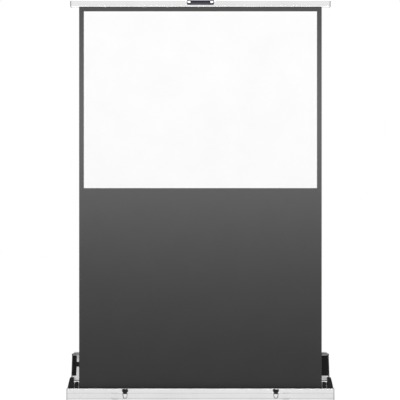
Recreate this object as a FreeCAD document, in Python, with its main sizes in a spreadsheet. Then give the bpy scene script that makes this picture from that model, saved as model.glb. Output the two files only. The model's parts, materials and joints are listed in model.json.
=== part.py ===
import FreeCAD, Part
import math
import os

import Sketcher

# Portable floor projection screen with a roller in a low case, standing raised and with its lid open.
# Millimetres. Origin on the floor under the middle of the case, +X to the right of a viewer in front,
# +Y to the back, +Z up. Each driving size below is one named cell of the sheet.
driving_sizes = {
    # Clearances and cuts that all pieces share
    "overrun": 2.0,
    "pin_gap": 0.06,
    "seat_gap": 0.1,
    "glide_gap": 0.4,
    # Swivel feet, their pads and pivot bolts
    "foot_pivot_x": 450.0,
    "foot_length": 400.0,
    "foot_width": 36.0,
    "foot_thickness": 10.0,
    "foot_corner": 14.0,
    "foot_edge": 2.0,
    "pad_height": 4.0,
    "pad_length": 46.0,
    "pad_inset": 5.0,
    "pad_corner": 9.0,
    "bolt_radius": 5.0,
    "bolt_head_radius": 9.0,
    "bolt_head_height": 4.0,
    "bolt_recess_depth": 5.5,
    "nut_radius": 8.5,
    "nut_height": 5.0,
    "washer_radius": 15.0,
    "washer_height": 1.2,
    # Case trough, an extrusion that is open at the top
    "case_length": 1384.0,
    "case_depth": 140.0,
    "case_front_height": 72.7,
    "case_rear_height": 91.0,
    "case_wall": 2.4,
    "case_chamfer": 4.0,
    "rim_depth": 5.0,
    "rim_height": 4.0,
    "groove_low": 23.0,
    "groove_high": 49.0,
    "groove_width": 2.6,
    "groove_depth": 0.9,
    "end_plate_thickness": 5.0,
    "end_plate_edge": 1.6,
    # Hinge blocks at both ends of the case, and the lid's hinge pins
    "block_width": 29.0,
    "block_front_y": 4.0,
    "block_rear_y": 47.0,
    "block_height": 119.2,
    "block_round": 17.0,
    "block_lean": 10.0,
    "block_slope_depth": 17.0,
    "block_slope_height": 26.0,
    "ear_width": 12.4,
    "ear_radius": 9.0,
    "hinge_pin_y": 58.0,
    "hinge_pin_z": 123.2,
    "hinge_pin_radius": 3.0,
    "hinge_pin_inset": 1.0,
    "plate_screw_radius": 2.5,
    "plate_screw_head": 4.6,
    "plate_screw_head_height": 2.4,
    "plate_screw_grip": 11.0,
    "plate_screw_low": 20.0,
    "plate_screw_high": 52.0,
    "plate_screw_inset": 10.0,
    # Roller, the fabric wound on it, its spring and its two carriers
    "roller_y": -41.0,
    "roller_z": 50.0,
    "roller_setback": 52.0,
    "roller_radius": 17.0,
    "roller_wall": 1.4,
    "wound_thickness": 3.0,
    "plug_depth": 16.0,
    "plug_flange": 3.0,
    "journal_radius": 6.0,
    "journal_length": 9.0,
    "shaft_radius": 4.0,
    "shaft_length": 360.0,
    "shaft_collar_radius": 9.0,
    "shaft_collar_length": 8.0,
    "spring_inner_radius": 6.0,
    "spring_wire": 2.6,
    "carrier_gap": 1.5,
    "carrier_width": 16.0,
    "carrier_front_height": 52.0,
    "carrier_rear_height": 93.0,
    "carrier_front_y": -63.0,
    "carrier_step_y": 3.0,
    "carrier_rear_y": 45.0,
    "carrier_edge": 3.0,
    # Screen fabric
    "fabric_setback": 5.0,
    "backing_thickness": 0.28,
    "side_border": 25.0,
    "viewing_height": 925.0,
    "top_border": 22.3,
    "viewing_thickness": 0.14,
    # Folding arms: two knee arms behind the fabric
    "arm_setback": 92.0,
    "arm_pivot_z": 36.0,
    "arm_length": 1150.0,
    "arm_tube_width": 25.0,
    "arm_thickness": 10.0,
    "arm_tube_wall": 1.6,
    "arm_tube_round": 3.0,
    "arm_first_layer": 3.0,
    "arm_layer_gap": 2.0,
    "arm_pair_gap": 3.0,
    "knuckle_radius": 15.0,
    "knuckle_reach": 22.0,
    "knuckle_tongue": 30.0,
    "arm_pin_radius": 5.0,
    "arm_pin_head_radius": 8.0,
    "arm_pin_head_height": 2.0,
    "arm_ring_height": 1.5,
    "friction_washer_radius": 13.0,
    "base_bracket_width": 32.0,
    "base_bracket_wall": 4.0,
    "base_bracket_foot": 16.0,
    "base_bracket_foot_height": 3.0,
    # Top bar that the fabric hangs from
    "bar_setback": 17.2,
    "bar_height": 30.0,
    "bar_depth": 42.0,
    "bar_back_y": -1.0,
    "bar_wall": 2.0,
    "bar_round": 5.0,
    "bar_groove_drop": 16.0,
    "bar_groove_width": 3.0,
    "bar_groove_depth": 1.2,
    "bar_slot_width": 3.0,
    "bar_slot_depth": 3.0,
    "batten_pocket": 8.0,
    "batten_radius": 3.6,
    "batten_setback": 4.0,
    "bar_cap_thickness": 4.5,
    "bar_cap_edge": 1.5,
    "top_pivot_rise": 1.0,
    "top_bracket_width": 32.0,
    "top_bracket_wall": 3.5,
    "top_bracket_web": 16.0,
    "bracket_screw_head": 3.6,
    "bracket_screw_head_height": 1.6,
    "bracket_screw_x": 9.0,
    "bracket_screw_drop": 6.0,
    # Pull handle on the front of the top bar
    "handle_length": 143.0,
    "handle_height": 26.0,
    "handle_thickness": 11.0,
    "handle_rise": 6.0,
    "handle_gap": 3.6,
    "handle_round": 4.6,
    "handle_corner": 8.0,
    "handle_axis_drop": 8.2,
    "handle_pin_radius": 1.6,
    "handle_pin_grip": 9.0,
    "handle_mount_width": 6.0,
    "handle_mount_height": 12.0,
    "handle_mount_nose": 4.0,
    "handle_window_x": 59.5,
    "handle_window_length": 14.0,
    "handle_window_height": 7.0,
    "handle_window_drop": 14.3,
    "eyelet_wall": 1.2,
    # Lid, a shallow channel that stands open behind the screen
    "lid_setback": 12.0,
    "lid_panel": 146.0,
    "lid_front_lip": 56.0,
    "lid_rear_lip": 21.5,
    "lid_wall": 2.2,
    "lid_bead": 4.5,
    "lid_corner": 4.0,
    "lid_pin_along": 8.0,
    "lid_pin_in": 18.5,
    "lid_cap_thickness": 4.0,
    "lid_cap_width": 9.0,
    "lid_cap_leg": 20.0,
    "lid_lip_taper": 14.0,
    "lid_lug_radius": 8.0,
    "lining_thickness": 2.0,
    "lining_start": 30.0,
    "lining_inset": 2.3,
    "lining_end_gap": 0.5,
    "strap_setback": 31.0,
    "strap_width": 18.0,
    "strap_thickness": 1.5,
    "strap_start": 8.0,
    "bumper_start": 79.0,
    "bumper_length": 25.0,
    "bumper_width": 30.0,
    "bumper_height": 4.0,
    # Toggle latches on the front of the case
    "latch_x": 392.0,
    "latch_plate_width": 32.0,
    "latch_plate_low": 22.0,
    "latch_plate_high": 68.0,
    "latch_plate_thickness": 1.5,
    "latch_plate_corner": 3.0,
    "latch_axis_out": 7.6,
    "latch_axis_height": 51.0,
    "latch_pin_radius": 1.5,
    "latch_ear_width": 1.6,
    "latch_ear_radius": 3.6,
    "lever_width": 31.0,
    "lever_reach": 20.0,
    "lever_shoulder": 5.6,
    "lever_thickness": 4.0,
    "lever_round": 1.6,
    "lever_corner": 4.0,
    "lever_front": 2.4,
    "lever_hub_radius": 5.2,
    "lever_hub_width": 20.0,
    "loop_axis_out": 2.6,
    "loop_axis_drop": 2.2,
    "loop_wire": 2.4,
    "loop_wire_round": 1.0,
    "loop_length": 26.0,
    "loop_foot_width": 18.0,
    "loop_gap": 1.2,
    "loop_hole_gap": 0.12,
    "loop_corner": 2.0,
    "keeper_width": 24.0,
    "keeper_depth": 6.0,
    "keeper_height": 9.0,
    "keeper_wall": 2.0,
}


class Size:
    """A length or ratio with the sheet expression that gives it."""

    def __init__(self, value, text):
        self.value = value
        self.text = text

    def __add__(self, other):
        other = as_size(other)
        return Size(self.value + other.value, f"({self.text} + {other.text})")

    def __radd__(self, other):
        return as_size(other) + self

    def __sub__(self, other):
        other = as_size(other)
        return Size(self.value - other.value, f"({self.text} - {other.text})")

    def __rsub__(self, other):
        return as_size(other) - self

    def __mul__(self, other):
        other = as_size(other)
        return Size(self.value * other.value, f"({self.text} * {other.text})")

    def __rmul__(self, other):
        return as_size(other) * self

    def __truediv__(self, other):
        other = as_size(other)
        return Size(self.value / other.value, f"({self.text} / {other.text})")

    def __neg__(self):
        return Size(-self.value, f"(-1 * {self.text})")


def as_size(number):
    return number if isinstance(number, Size) else Size(float(number), str(number))


def angle_with_sine(ratio):
    return Size(math.degrees(math.asin(ratio.value)), f"asin({ratio.text})")


def sine(angle):
    return Size(math.sin(math.radians(angle.value)), f"sin({angle.text})")


def cosine(angle):
    return Size(math.cos(math.radians(angle.value)), f"cos({angle.text})")


document = FreeCAD.newDocument("ProjectionScreen")
sheet = document.addObject("Spreadsheet::Sheet", "Sizes")
for row, (alias, value) in enumerate(driving_sizes.items(), start=1):
    sheet.set(f"A{row}", alias)
    sheet.set(f"B{row}", str(value))
    sheet.setAlias(f"B{row}", alias)
document.recompute()


class Named:
    """The driving sizes as attributes."""

    def __init__(self):
        for name in driving_sizes:
            setattr(self, name, Size(float(sheet.get(name)), f"Sizes.{name}"))


s = Named()
sides = (("left", -1), ("right", 1))
turn_to_axis = {
    "x": FreeCAD.Rotation(FreeCAD.Vector(0, 1, 0), 90),
    "y": FreeCAD.Rotation(FreeCAD.Vector(1, 0, 0), -90),
    "z": FreeCAD.Rotation(),
}
sub_parts = []


def bind(thing, prop, size):
    thing.setExpression(prop, as_size(size).text)


def put(thing, x, y, z):
    for letter, size in zip("xyz", (x, y, z)):
        bind(thing, f"Placement.Base.{letter}", size)


def put_turned(thing, spot, axis, angle):
    """Places a piece that was made about its own pivot: turned about an axis, then moved."""
    thing.Placement = FreeCAD.Placement(FreeCAD.Vector(), FreeCAD.Rotation(FreeCAD.Vector(*axis), angle.value))
    bind(thing, "Placement.Rotation.Angle", angle)
    put(thing, *spot)


def box(name, xs, ys, zs):
    piece = document.addObject("Part::Box", name)
    for prop, (low, high) in zip(("Length", "Width", "Height"), (xs, ys, zs)):
        bind(piece, prop, as_size(high) - low)
    put(piece, xs[0], ys[0], zs[0])
    return piece


def rod(name, axis, centre, span, radius):
    """A round bar along an axis; centre holds its other two coordinates in order."""
    piece = document.addObject("Part::Cylinder", name)
    bind(piece, "Radius", radius)
    bind(piece, "Height", as_size(span[1]) - span[0])
    piece.Placement = FreeCAD.Placement(FreeCAD.Vector(), turn_to_axis[axis])
    spot = list(centre)
    spot.insert("xyz".index(axis), span[0])
    put(piece, *spot)
    return piece


def fuse(name, *pieces):
    piece = document.addObject("Part::MultiFuse", name)
    piece.Shapes = list(pieces)
    piece.Refine = True
    return piece


def cut(name, base, *tools):
    piece = document.addObject("Part::Cut", name)
    piece.Base = base
    piece.Tool = tools[0] if len(tools) == 1 else fuse(f"{name}_tools", *tools)
    return piece


def group(name, pieces):
    piece = document.addObject("Part::Compound", name)
    piece.Links = list(pieces)
    return piece


def keep(piece, label):
    """Notes a finished sub-part under the label that names its file."""
    piece.Label = label
    sub_parts.append(piece)
    return piece


def mirrored(sign, low, high):
    """A span on the right side of the middle, or its mirror on the left."""
    return (as_size(low), as_size(high)) if sign > 0 else (-as_size(high), -as_size(low))


class Circle:
    def __init__(self, centre, radius):
        self.centre = centre
        self.radius = radius


class Body:
    """A PartDesign body made of padded and pocketed outlines."""

    def __init__(self, name):
        self.body = document.addObject("PartDesign::Body", name)
        self.planes = {plane.Role: plane for plane in self.body.Origin.OriginFeatures}

    def sketch(self, plane, span, outlines):
        sketch = self.body.newObject("Sketcher::SketchObject", "Outline")
        sketch.AttachmentSupport = (self.planes[f"{plane}_Plane"], [""])
        sketch.MapMode = "FlatFace"
        start = -as_size(span[1]) if plane == "XZ" else span[0]
        bind(sketch, "AttachmentOffset.Base.z", start)
        for outline in outlines:
            if isinstance(outline, Circle):
                self.add_circle(sketch, outline)
            else:
                self.add_polygon(sketch, outline)
        return sketch

    def fix_point(self, sketch, line, end, point):
        for kind, size in zip(("DistanceX", "DistanceY"), point):
            size = as_size(size)
            index = sketch.addConstraint(Sketcher.Constraint(kind, -1, 1, line, end, size.value))
            sketch.setExpression(f"Constraints[{index}]", size.text)

    def add_circle(self, sketch, circle):
        u, v = (as_size(size).value for size in circle.centre)
        radius = as_size(circle.radius)
        round_line = Part.Circle(FreeCAD.Vector(u, v, 0), FreeCAD.Vector(0, 0, 1), radius.value)
        line = sketch.addGeometry(round_line, False)
        self.fix_point(sketch, line, 3, circle.centre)
        index = sketch.addConstraint(Sketcher.Constraint("Radius", line, radius.value))
        sketch.setExpression(f"Constraints[{index}]", radius.text)

    def add_polygon(self, sketch, points):
        spots = [FreeCAD.Vector(as_size(u).value, as_size(v).value, 0) for u, v in points]
        lines = []
        for start, end in zip(spots, spots[1:] + spots[:1]):
            lines.append(sketch.addGeometry(Part.LineSegment(start, end), False))
        for line, following in zip(lines, lines[1:] + lines[:1]):
            sketch.addConstraint(Sketcher.Constraint("Coincident", line, 2, following, 1))
        for line, point in zip(lines, points):
            self.fix_point(sketch, line, 1, point)

    def grow(self, kind, plane, span, outlines):
        feature = self.body.newObject(f"PartDesign::{kind}", kind)
        feature.Profile = self.sketch(plane, span, outlines)
        bind(feature, "Length", as_size(span[1]) - span[0])
        return feature

    def pad(self, plane, span, *outlines):
        self.grow("Pad", plane, span, outlines)
        document.recompute()
        return self

    def pocket(self, plane, span, *outlines):
        before = self.body.Shape.Volume
        self.grow("Pocket", plane, span, outlines).Reversed = True
        document.recompute()
        if not self.body.Shape.Volume < before:
            raise RuntimeError(f"a pocket of {self.body.Label} cut nothing")
        return self

    def soften(self, kind, prop, size, chosen):
        tip = self.body.Tip
        names = [f"Edge{n}" for n, edge in enumerate(tip.Shape.Edges, start=1) if chosen(edge)]
        feature = self.body.newObject(f"PartDesign::{kind}", kind)
        feature.Base = (tip, names)
        bind(feature, prop, size)
        document.recompute()
        return self

    def fillet(self, radius, chosen):
        return self.soften("Fillet", "Radius", radius, chosen)

    def chamfer(self, size, chosen):
        return self.soften("Chamfer", "Size", size, chosen)


def is_near(a, b):
    return abs(a - b) < 1e-4


def along(axis, *corners):
    """Chooses straight edges along an axis that pass through corners, given by the other two coordinates."""
    places = [i for i, letter in enumerate("xyz") if letter != axis]
    spots = [tuple(as_size(size).value for size in corner) for corner in corners]

    def chosen(edge):
        ends = [vertex.Point for vertex in edge.Vertexes]
        if len(ends) != 2 or not all(is_near(ends[0][i], ends[1][i]) for i in places):
            return False
        if not corners:
            return True
        return any(all(is_near(ends[0][i], spot[k]) for k, i in enumerate(places)) for spot in spots)

    return chosen


def on_level(axis, level):
    """Chooses the edges that lie wholly on one level along an axis."""
    i = "xyz".index(axis)
    height = as_size(level).value

    def chosen(edge):
        low, high = ((edge.BoundBox.XMin, edge.BoundBox.XMax), (edge.BoundBox.YMin, edge.BoundBox.YMax),
                     (edge.BoundBox.ZMin, edge.BoundBox.ZMax))[i]
        return abs(low - height) < 1e-3 and abs(high - height) < 1e-3

    return chosen


def rectangle(us, vs):
    return [(us[0], vs[0]), (us[1], vs[0]), (us[1], vs[1]), (us[0], vs[1])]


# Levels and faces that pieces share
foot_bottom = s.pad_height
foot_top = foot_bottom + s.foot_thickness
case_bottom = foot_top + s.glide_gap + s.washer_height
case_floor = case_bottom + s.case_wall
front_rim = case_bottom + s.case_front_height
rear_rim = case_bottom + s.case_rear_height
case_front = -s.case_depth / 2
case_back = s.case_depth / 2
case_end = s.case_length / 2
outer_end = case_end + s.end_plate_thickness
lid_end = case_end - s.lid_setback

# Each arm is two equal links that stand raised; the share is how much of a link's length is rise.
arm_rise_share = 0.8888
arm_angle = angle_with_sine(as_size(arm_rise_share))
arm_pivot_x = case_end - s.arm_setback
elbow_rise = s.arm_length * sine(arm_angle)
elbow_reach = s.arm_length * cosine(arm_angle)
top_pivot_z = s.arm_pivot_z + 2 * elbow_rise
bar_bottom = top_pivot_z - s.top_pivot_rise


def make_feet():
    for side, sign in sides:
        centre = sign * s.foot_pivot_x
        across = (centre - s.foot_width / 2, centre + s.foot_width / 2)
        along_y = (-s.foot_length / 2, s.foot_length / 2)
        foot = Body(f"Foot_{side}")
        foot.pad("XY", (foot_bottom, foot_top), rectangle(across, along_y))
        foot.fillet(s.foot_corner, along("z"))
        foot.fillet(s.foot_edge, on_level("z", foot_top))
        through = (foot_bottom - s.overrun, foot_top + s.overrun)
        foot.pocket("XY", through, Circle((centre, 0), s.bolt_radius + s.pin_gap))
        recess = (foot_bottom - s.overrun, foot_bottom + s.bolt_recess_depth)
        foot.pocket("XY", recess, Circle((centre, 0), s.bolt_head_radius + s.glide_gap))
        keep(foot.body, f"foot_{side}")

        pads = []
        pad_xs = (across[0] + s.pad_inset, across[1] - s.pad_inset)
        for end in (-1, 1):
            near = s.foot_length / 2 - s.pad_inset - s.pad_length
            pad_ys = mirrored(end, near, near + s.pad_length)
            pad = Body(f"Pad_{side}")
            pad.pad("XY", (0, foot_bottom), rectangle(pad_xs, pad_ys))
            pad.fillet(s.pad_corner, along("z"))
            pads.append(pad.body)
        keep(group(f"Pads_{side}", pads), f"foot_pads_{side}")


def make_foot_bolts():
    bolts = []
    washers = []
    for side, sign in sides:
        centre = (sign * s.foot_pivot_x, 0)
        head_top = foot_bottom + s.bolt_recess_depth - s.glide_gap
        head = rod("Bolt_head", "z", centre, (head_top - s.bolt_head_height, head_top), s.bolt_head_radius)
        shank_top = case_floor + s.nut_height
        shank = rod("Bolt_shank", "z", centre, (head_top - s.bolt_head_height, shank_top), s.bolt_radius)
        nut = rod("Bolt_nut", "z", centre, (case_floor, shank_top), s.nut_radius)
        bolts.append(fuse(f"Bolt_{side}", head, shank, nut))
        ring = rod("Washer_disc", "z", centre, (foot_top + s.glide_gap, case_bottom), s.washer_radius)
        bore = rod("Washer_bore", "z", centre, (foot_top, case_floor), s.bolt_radius + s.seat_gap)
        washers.append(cut(f"Washer_{side}", ring, bore))
    keep(group("Foot_bolts", bolts), "foot_bolts")
    keep(group("Foot_washers", washers), "foot_washers")


def groove(height):
    """Three points of a V groove in the front of the case, going up."""
    return [
        (case_front, height - s.groove_width / 2),
        (case_front + s.groove_depth, height),
        (case_front, height + s.groove_width / 2),
    ]


def make_case_trough():
    inner_front = case_front + s.case_wall
    inner_back = case_back - s.case_wall
    outline = [(case_front + s.case_chamfer, case_bottom), (case_front, case_bottom + s.case_chamfer)]
    outline += groove(case_bottom + s.groove_low)
    outline += groove(case_bottom + s.groove_high)
    outline += [
        (case_front, front_rim),
        (case_front + s.rim_depth, front_rim),
        (case_front + s.rim_depth, front_rim - s.rim_height),
        (inner_front, front_rim - s.rim_height),
        (inner_front, case_floor + s.case_chamfer),
        (inner_front + s.case_chamfer, case_floor),
        (inner_back - s.case_chamfer, case_floor),
        (inner_back, case_floor + s.case_chamfer),
        (inner_back, rear_rim),
        (case_back, rear_rim),
        (case_back, case_bottom + s.case_chamfer),
        (case_back - s.case_chamfer, case_bottom),
    ]
    trough = Body("Case_trough")
    trough.pad("YZ", (-case_end, case_end), outline)
    rim_edges = along("x", (case_front, front_rim), (case_front + s.rim_depth, front_rim))
    trough.fillet(s.rim_height / 3, rim_edges)
    holes = [Circle((sign * s.foot_pivot_x, 0), s.bolt_radius + s.seat_gap) for _, sign in sides]
    trough.pocket("XY", (case_bottom - s.overrun, case_floor + s.overrun), *holes)
    keep(trough.body, "case_trough")


def plate_screw_spots():
    """Places on a case end, across and up, where screws hold the end plate to the hinge block."""
    near = s.block_front_y + s.plate_screw_inset
    far = s.block_rear_y - s.plate_screw_inset
    return [(near, case_bottom + s.plate_screw_low), (far, case_bottom + s.plate_screw_high)]


def make_end_plates():
    outline = [
        (case_front + s.case_chamfer, case_bottom),
        (case_front, case_bottom + s.case_chamfer),
        (case_front, front_rim),
        (case_back, front_rim),
        (case_back, case_bottom + s.case_chamfer),
        (case_back - s.case_chamfer, case_bottom),
    ]
    screws = []
    for side, sign in sides:
        plate = Body(f"End_plate_{side}")
        plate.pad("YZ", mirrored(sign, case_end, outer_end), outline)
        plate.fillet(s.end_plate_edge, on_level("x", sign * outer_end))
        through = mirrored(sign, case_end - s.overrun, outer_end + s.overrun)
        holes = [Circle(spot, s.plate_screw_radius + s.seat_gap) for spot in plate_screw_spots()]
        plate.pocket("YZ", through, *holes)
        keep(plate.body, f"case_end_plate_{side}")
        for spot in plate_screw_spots():
            head_xs = mirrored(sign, outer_end, outer_end + s.plate_screw_head_height)
            head = rod("Screw_head", "x", spot, head_xs, s.plate_screw_head)
            shank_xs = mirrored(sign, outer_end - s.plate_screw_grip, outer_end)
            shank = rod("Screw_shank", "x", spot, shank_xs, s.plate_screw_radius)
            screws.append(fuse(f"Plate_screw_{side}", head, shank))
    keep(group("Plate_screws", screws), "end_plate_screws")


def make_hinge_blocks():
    block_top = case_bottom + s.block_height
    inner = outer_end - s.block_width
    pin_spot = (s.hinge_pin_y, s.hinge_pin_z)
    pin_top = s.hinge_pin_z + s.hinge_pin_radius
    pin_lean = s.block_lean * (pin_top - front_rim) / (block_top - front_rim)
    pins = []
    for side, sign in sides:
        front_view = [
            (sign * inner, case_floor),
            (sign * case_end, case_floor),
            (sign * case_end, front_rim),
            (sign * outer_end, front_rim),
            (sign * outer_end, block_top),
            (sign * inner, block_top),
        ]
        block = Body(f"Hinge_block_{side}")
        block.pad("XZ", (s.block_front_y, s.block_rear_y), front_view)
        block.fillet(s.block_round, along("y", (sign * outer_end, block_top)))
        slope = [
            (s.block_front_y - s.overrun, block_top - s.block_slope_height),
            (s.block_front_y, block_top - s.block_slope_height),
            (s.block_front_y + s.block_slope_depth, block_top),
            (s.block_front_y + s.block_slope_depth, block_top + s.overrun),
            (s.block_front_y - s.overrun, block_top + s.overrun),
        ]
        beyond = mirrored(sign, inner - s.overrun, outer_end + s.overrun)
        block.pocket("YZ", beyond, slope)
        ear_xs = mirrored(sign, outer_end - s.ear_width, outer_end)
        ear_ys = (s.block_rear_y - s.ear_radius, s.hinge_pin_y + s.ear_radius)
        block.pad("YZ", ear_xs, rectangle(ear_ys, (front_rim, s.hinge_pin_z)))
        block.pad("YZ", ear_xs, Circle(pin_spot, s.ear_radius))
        lean = [
            (sign * outer_end, front_rim),
            (sign * (outer_end - s.block_lean), block_top),
            (sign * (outer_end - s.block_lean), block_top + s.overrun),
            (sign * (outer_end + s.overrun), block_top + s.overrun),
            (sign * (outer_end + s.overrun), front_rim),
        ]
        block.pocket("XZ", (s.block_front_y - s.overrun, s.hinge_pin_y + s.ear_radius + s.overrun), lean)
        block.pocket("YZ", beyond, Circle(pin_spot, s.hinge_pin_radius + s.seat_gap))
        screw_depth = mirrored(sign, outer_end - s.plate_screw_grip, case_end + s.overrun)
        holes = [Circle(spot, s.plate_screw_radius + s.seat_gap) for spot in plate_screw_spots()]
        block.pocket("YZ", screw_depth, *holes)
        keep(block.body, f"hinge_block_{side}")

        pin_start = lid_end + s.glide_gap
        pin_stop = outer_end - pin_lean - s.hinge_pin_inset
        pins.append(rod(f"Hinge_pin_{side}", "x", pin_spot, mirrored(sign, pin_start, pin_stop), s.hinge_pin_radius))
    keep(group("Hinge_pins", pins), "lid_hinge_pins")


# The roller turns about an axis along X; its ends stand in two carriers on the case floor.
roller_axis = (s.roller_y, s.roller_z)
roller_end = case_end - s.roller_setback
fabric_end = roller_end - s.fabric_setback
carrier_inner = roller_end + s.plug_flange + s.carrier_gap
wound_radius = s.roller_radius + s.seat_gap + s.wound_thickness


def make_roller():
    inside = s.roller_radius - s.roller_wall
    tube = rod("Tube_outside", "x", roller_axis, (-roller_end, roller_end), s.roller_radius)
    hollow = rod("Tube_inside", "x", roller_axis, (-roller_end - s.overrun, roller_end + s.overrun), inside)
    keep(cut("Roller_tube", tube, hollow), "roller_tube")

    roll = rod("Wound_outside", "x", roller_axis, (-fabric_end, fabric_end), wound_radius)
    core = rod("Wound_inside", "x", roller_axis, (-fabric_end - s.overrun, fabric_end + s.overrun),
               s.roller_radius + s.seat_gap)
    keep(cut("Wound_fabric", roll, core), "wound_fabric")

    plugs = []
    for side, sign in sides:
        stem = rod("Plug_stem", "x", roller_axis, mirrored(sign, roller_end - s.plug_depth, roller_end),
                   inside - s.seat_gap)
        flange = rod("Plug_flange", "x", roller_axis, mirrored(sign, roller_end, roller_end + s.plug_flange),
                     s.roller_radius)
        plug = fuse(f"Plug_{side}", stem, flange)
        if sign < 0:
            journal_end = carrier_inner + s.journal_length
            journal = rod("Plug_journal", "x", roller_axis, mirrored(sign, roller_end, journal_end),
                          s.journal_radius)
            plugs.append(fuse("Plug_with_journal", plug, journal))
        else:
            bore = rod("Plug_bore", "x", roller_axis,
                       (roller_end - s.plug_depth - s.overrun, roller_end + s.plug_flange + s.overrun),
                       s.shaft_radius + s.pin_gap)
            plugs.append(cut("Plug_on_shaft", plug, bore))
    keep(group("Roller_plugs", plugs), "roller_plugs")


def make_roller_spring():
    shaft_end = carrier_inner + s.journal_length
    shaft_start = shaft_end - s.shaft_length
    collar_xs = (shaft_start, shaft_start + s.shaft_collar_length)
    shaft = rod("Shaft_bar", "x", roller_axis, (shaft_start, shaft_end), s.shaft_radius)
    collar = rod("Shaft_collar", "x", roller_axis, collar_xs, s.shaft_collar_radius)
    keep(fuse("Spring_shaft", shaft, collar), "roller_spring_shaft")

    spring_xs = (collar_xs[1] + s.glide_gap, roller_end - s.plug_depth)
    coil = rod("Spring_outside", "x", roller_axis, spring_xs, s.spring_inner_radius + s.spring_wire)
    hollow = rod("Spring_inside", "x", roller_axis, (spring_xs[0] - s.overrun, spring_xs[1] + s.overrun),
                 s.spring_inner_radius)
    keep(cut("Roller_spring", coil, hollow), "roller_spring")


def make_roller_carriers():
    front_top = case_floor + s.carrier_front_height
    rear_top = case_floor + s.carrier_rear_height
    side_view = [
        (s.carrier_front_y, case_floor),
        (s.carrier_rear_y, case_floor),
        (s.carrier_rear_y, rear_top),
        (s.carrier_step_y, rear_top),
        (s.carrier_step_y, front_top),
        (s.carrier_front_y, front_top),
    ]
    carriers = []
    for side, sign in sides:
        xs = mirrored(sign, carrier_inner, carrier_inner + s.carrier_width)
        outer = sign * (carrier_inner + s.carrier_width)
        carrier = Body(f"Carrier_{side}")
        carrier.pad("YZ", xs, side_view)
        carrier.chamfer(s.carrier_edge, along("y", (outer, rear_top)))
        carrier.fillet(s.carrier_edge, along("x", (s.carrier_rear_y, rear_top), (s.carrier_step_y, rear_top)))
        radius = s.journal_radius + s.pin_gap if sign < 0 else s.shaft_radius + s.seat_gap
        depth = mirrored(sign, carrier_inner - s.overrun, carrier_inner + s.journal_length + s.glide_gap)
        carrier.pocket("YZ", depth, Circle(roller_axis, radius))
        carriers.append(carrier.body)
    keep(group("Roller_carriers", carriers), "roller_carriers")


# The fabric hangs from the top bar's slot and runs down to the back of the wound roll.
backing_front = s.roller_y + wound_radius + s.glide_gap
backing_back = backing_front + s.backing_thickness
slot_y = (backing_front + backing_back) / 2
batten_z = bar_bottom + s.bar_slot_depth + s.batten_radius + s.seat_gap
backing_top = batten_z - s.batten_radius - s.glide_gap


def make_fabric():
    backing = box("Backing", (-fabric_end, fabric_end), (backing_front, backing_back), (s.roller_z, backing_top))
    keep(backing, "screen_backing")
    half = fabric_end - s.side_border
    viewing_top = bar_bottom - s.top_border
    face = box("Viewing", (-half, half), (backing_front - s.viewing_thickness, backing_front),
               (viewing_top - s.viewing_height, viewing_top))
    keep(face, "viewing_surface")


# A link lies along +X about its lower pivot before it is placed.
straight_angle = Size(180.0, "180 deg")
layer_step = s.arm_thickness + s.arm_layer_gap
left_upper_y = s.arm_first_layer
left_lower_y = left_upper_y + layer_step
right_upper_y = left_lower_y + s.arm_thickness + s.arm_pair_gap
right_lower_y = right_upper_y + layer_step


def place_link(piece, pivot_x, layer_y, pivot_z, leans_right):
    angle = -arm_angle if leans_right else arm_angle - straight_angle
    put_turned(piece, (pivot_x, layer_y, pivot_z), (0, 1, 0), angle)


def make_link(name, pivot_x, layer_y, pivot_z, leans_right):
    half = s.arm_tube_width / 2
    inner = half - s.arm_tube_wall
    tube_xs = (s.knuckle_reach, s.arm_length - s.knuckle_reach)
    tube = Body(f"{name}_tube")
    inner_ys = (s.arm_tube_wall, s.arm_thickness - s.arm_tube_wall)
    tube.pad("YZ", tube_xs, rectangle((0, s.arm_thickness), (-half, half)), rectangle(inner_ys, (-inner, inner)))
    corners = [(y, z) for y in (0, s.arm_thickness) for z in (-half, half)]
    tube.fillet(s.arm_tube_round, along("x", *corners))
    place_link(tube.body, pivot_x, layer_y, pivot_z, leans_right)
    keep(tube.body, f"{name}_tube")

    knuckles = []
    for middle, inward in ((0, 1), (s.arm_length, -1)):
        eye = rod("Knuckle_eye", "y", (middle, 0), (0, s.arm_thickness), s.knuckle_radius)
        stretch = sorted((middle, middle + inward * s.knuckle_reach), key=lambda size: as_size(size).value)
        neck = box("Knuckle_neck", stretch, (0, s.arm_thickness), (-half, half))
        tip = middle + inward * (s.knuckle_reach + s.knuckle_tongue)
        stretch = sorted((middle + inward * s.knuckle_reach, tip), key=lambda size: as_size(size).value)
        tongue_ys = (inner_ys[0] + s.seat_gap, inner_ys[1] - s.seat_gap)
        tongue = box("Knuckle_tongue", stretch, tongue_ys, (-inner + s.seat_gap, inner - s.seat_gap))
        bore = rod("Knuckle_bore", "y", (middle, 0), (-s.overrun, s.arm_thickness + s.overrun),
                   s.arm_pin_radius + s.pin_gap)
        knuckles.append(cut("Knuckle", fuse("Knuckle_solid", eye, neck, tongue), bore))
    both = group(f"{name}_knuckles", knuckles)
    place_link(both, pivot_x, layer_y, pivot_z, leans_right)
    keep(both, f"{name}_knuckles")


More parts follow.
